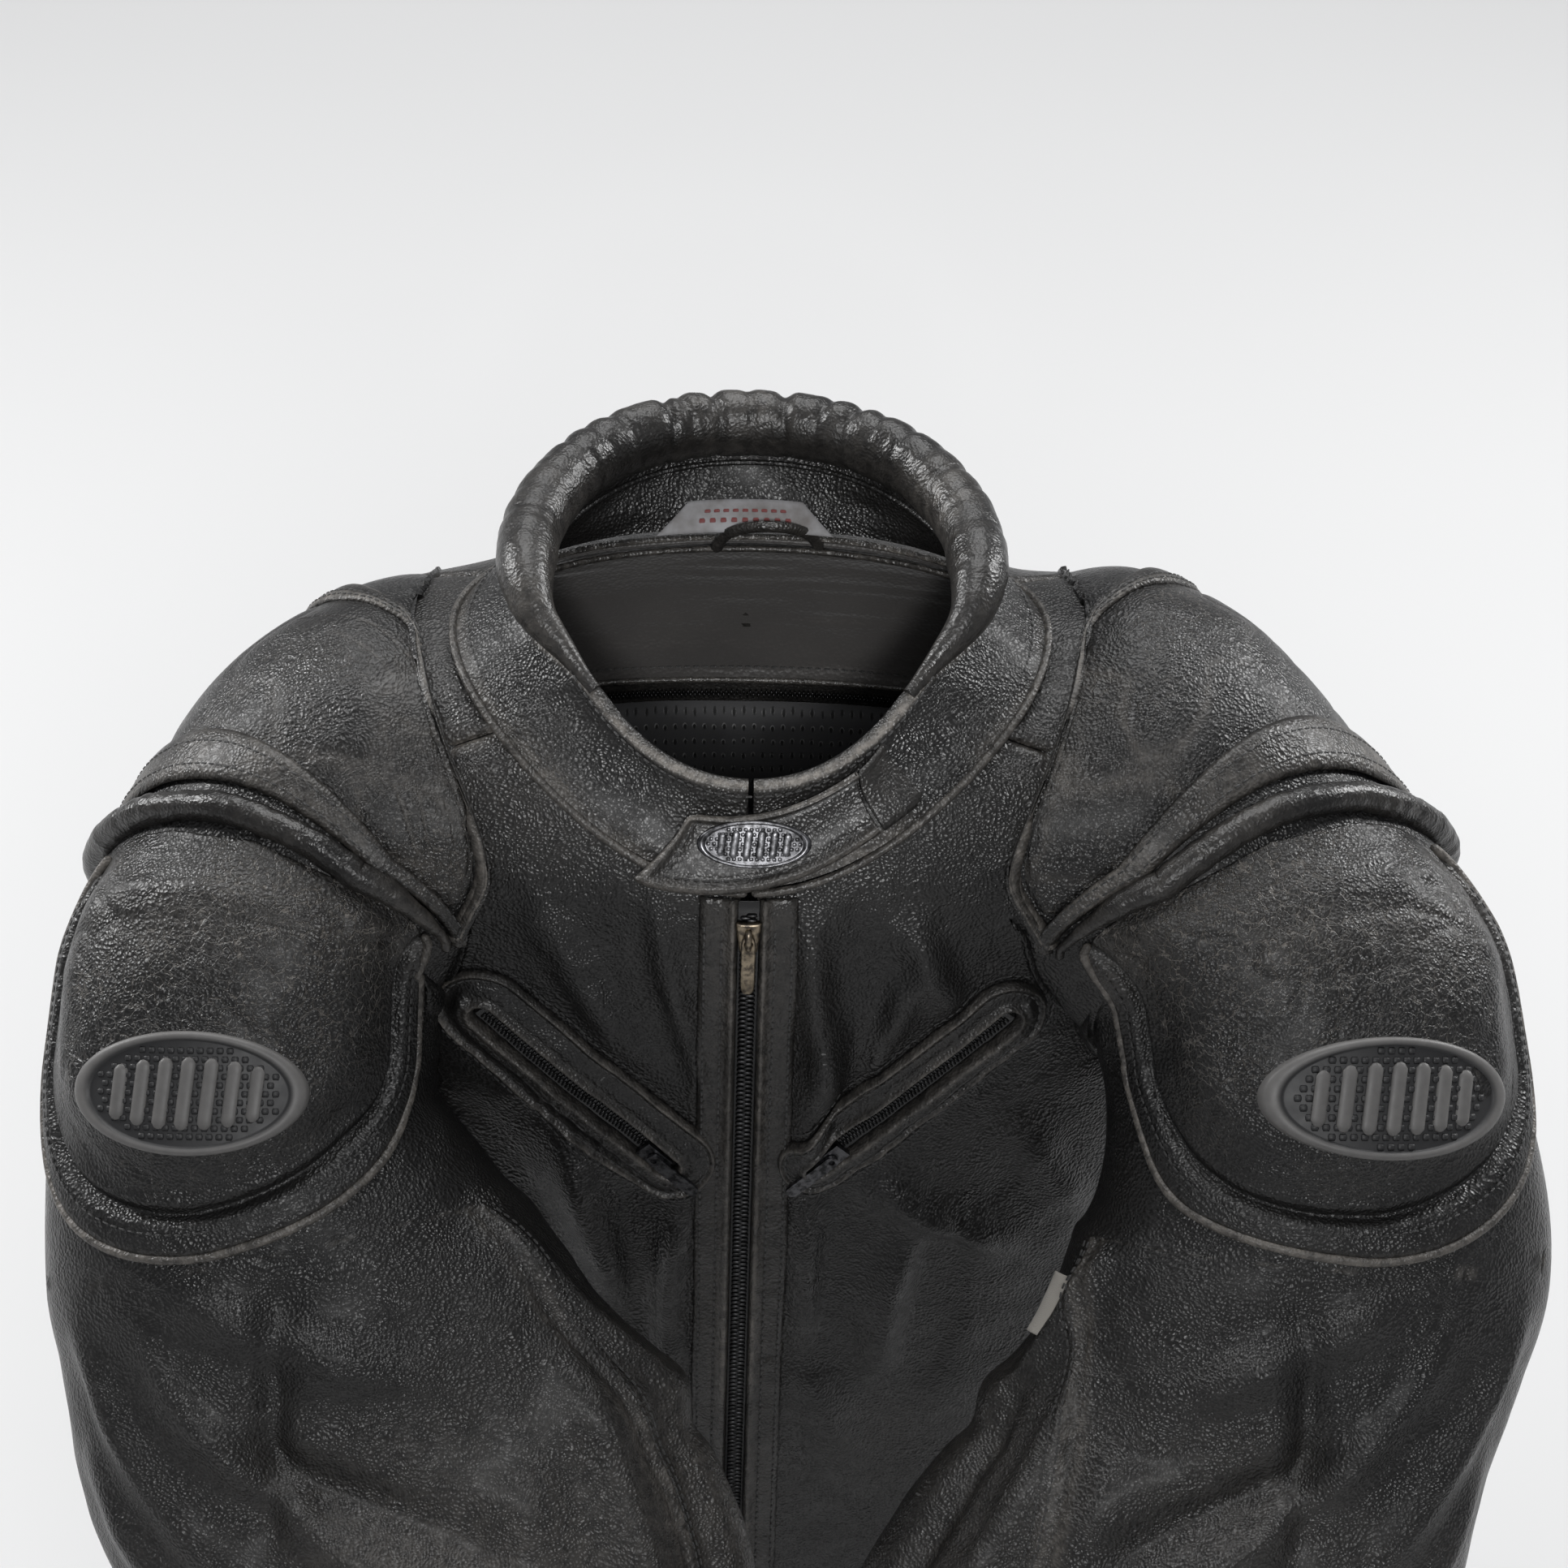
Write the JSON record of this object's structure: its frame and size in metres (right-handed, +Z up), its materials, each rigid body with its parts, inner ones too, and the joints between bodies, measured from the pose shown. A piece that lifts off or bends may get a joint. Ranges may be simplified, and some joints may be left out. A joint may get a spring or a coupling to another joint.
{
  "type": "leather riding jacket",
  "caption": "Black leather riding jacket with banded collar, padded shoulder cups, diagonal chest pockets and a front zip, standing as worn with both sleeves reaching forward.",
  "frame": {"origin": "on the surface that the hem stands on, under the middle of the whole jacket", "axes": "+Z up, -Y out of the jacket's front, +X towards the wearer's left"},
  "size_m": [0.5294, 0.4603, 0.6076],
  "materials": {
    "leather": "satin pebbled grain",
    "padded_leather": "satin pebbled grain over foam",
    "trim_leather": "satin, edges worn to warm grey-brown",
    "rubber": "moulded matt",
    "brass": "antique",
    "dark_metal": "blackened",
    "zip_teeth": "matt",
    "mesh": "open mesh",
    "cloth": "matt woven",
    "foam": "matt",
    "label": "woven satin"
  },
  "bodies": {
    "jacket_body": {"front_right": "leather", "side_right": "leather", "hem_band_right": "leather", "front_left": "leather", "side_left": "leather", "hem_band_left": "leather", "back_panel": "leather", "back_yoke": "leather", "collar_stand": "leather", "collar_roll": "padded_leather", "neck_facing": "trim_leather", "lining_mesh": "mesh", "liner_zip_chain": "zip_teeth", "back_pad": "foam", "neck_label": "label", "hanging_loop": "trim_leather", "collar_tab_root": "trim_leather", "collar_snap_stud": "brass", "zip_chain": "zip_teeth", "placket_right": "trim_leather", "placket_left": "trim_leather", "zip_bottom_box": "dark_metal", "pocket_frame_right": "trim_leather", "pocket_chain_right": "zip_teeth", "pocket_bag_right": "cloth", "upper_sleeve_right": "leather", "shoulder_panel_right": "leather", "shoulder_ridge_right": "padded_leather", "shoulder_cup_right": "padded_leather", "cup_badge_right": "rubber", "shoulder_armour_right": "foam", "pocket_frame_left": "trim_leather", "pocket_chain_left": "zip_teeth", "pocket_bag_left": "cloth", "upper_sleeve_left": "leather", "shoulder_panel_left": "leather", "shoulder_ridge_left": "padded_leather", "shoulder_cup_left": "padded_leather", "cup_badge_left": "rubber", "shoulder_armour_left": "foam", "sleeve_tag": "cloth"},
    "zip_slider": {"zip_slider": "brass"},
    "zip_puller": {"zip_puller": "brass"},
    "collar_tab": {"collar_tab": "trim_leather", "collar_badge": "brass"},
    "pocket_slider_right": {"pocket_slider_right": "dark_metal"},
    "pocket_puller_right": {"pocket_puller_right": "dark_metal"},
    "forearm_right": {"forearm_sleeve_right": "leather", "cuff_band_right": "leather", "elbow_armour_right": "foam", "cuff_zip_chain_right": "zip_teeth"},
    "cuff_slider_right": {"cuff_slider_right": "dark_metal"},
    "pocket_slider_left": {"pocket_slider_left": "dark_metal"},
    "pocket_puller_left": {"pocket_puller_left": "dark_metal"},
    "forearm_left": {"forearm_sleeve_left": "leather", "cuff_band_left": "leather", "elbow_armour_left": "foam", "cuff_zip_chain_left": "zip_teeth"},
    "cuff_slider_left": {"cuff_slider_left": "dark_metal"}
  },
  "joints": [
    {"name": "main_zip", "type": "slide", "parent": "jacket_body", "child": "zip_slider", "axis": [0, -0.034, -0.9994], "range_m": [0, 0.455]},
    {"name": "main_zip_puller", "type": "hinge", "parent": "zip_slider", "child": "zip_puller", "pos_m": [0, 0.02979, 0.503], "axis": [-1, 0, 0], "range_deg": [0, 110]},
    {"name": "collar_tab_snap", "type": "hinge", "parent": "jacket_body", "child": "collar_tab", "pos_m": [0.03721, 0.05138, 0.549], "axis": [-0.3521, 0.4536, 0.8187], "range_deg": [0, 55]},
    {"name": "pocket_zip_right", "type": "slide", "parent": "jacket_body", "child": "pocket_slider_right", "axis": [-0.7157, 0.1038, 0.6906], "range_m": [0, 0.074]},
    {"name": "pocket_puller_hinge_right", "type": "hinge", "parent": "pocket_slider_right", "child": "pocket_puller_right", "pos_m": [-0.03377, 0.02612, 0.39907], "axis": [-0.6889, 0.0574, -0.7226], "range_deg": [0, 120]},
    {"name": "elbow_right", "type": "hinge", "parent": "jacket_body", "child": "forearm_right", "pos_m": [-0.15, -0.06305, 0.30917], "axis": [0, 0.766, -0.6428], "range_deg": [0, 30]},
    {"name": "cuff_zip_right", "type": "slide", "parent": "forearm_right", "child": "cuff_slider_right", "axis": [-0.3142, 0.6201, 0.7189], "range_m": [0, 0.055]},
    {"name": "pocket_zip_left", "type": "slide", "parent": "jacket_body", "child": "pocket_slider_left", "axis": [0.7157, 0.1038, 0.6906], "range_m": [0, 0.074]},
    {"name": "pocket_puller_hinge_left", "type": "hinge", "parent": "pocket_slider_left", "child": "pocket_puller_left", "pos_m": [0.03377, 0.02612, 0.39907], "axis": [-0.6889, -0.0574, 0.7226], "range_deg": [0, 120]},
    {"name": "elbow_left", "type": "hinge", "parent": "jacket_body", "child": "forearm_left", "pos_m": [0.15, -0.06305, 0.30917], "axis": [0, -0.766, 0.6428], "range_deg": [0, 30]},
    {"name": "cuff_zip_left", "type": "slide", "parent": "forearm_left", "child": "cuff_slider_left", "axis": [0.3142, 0.6201, 0.7189], "range_m": [0, 0.055]}
  ]
}
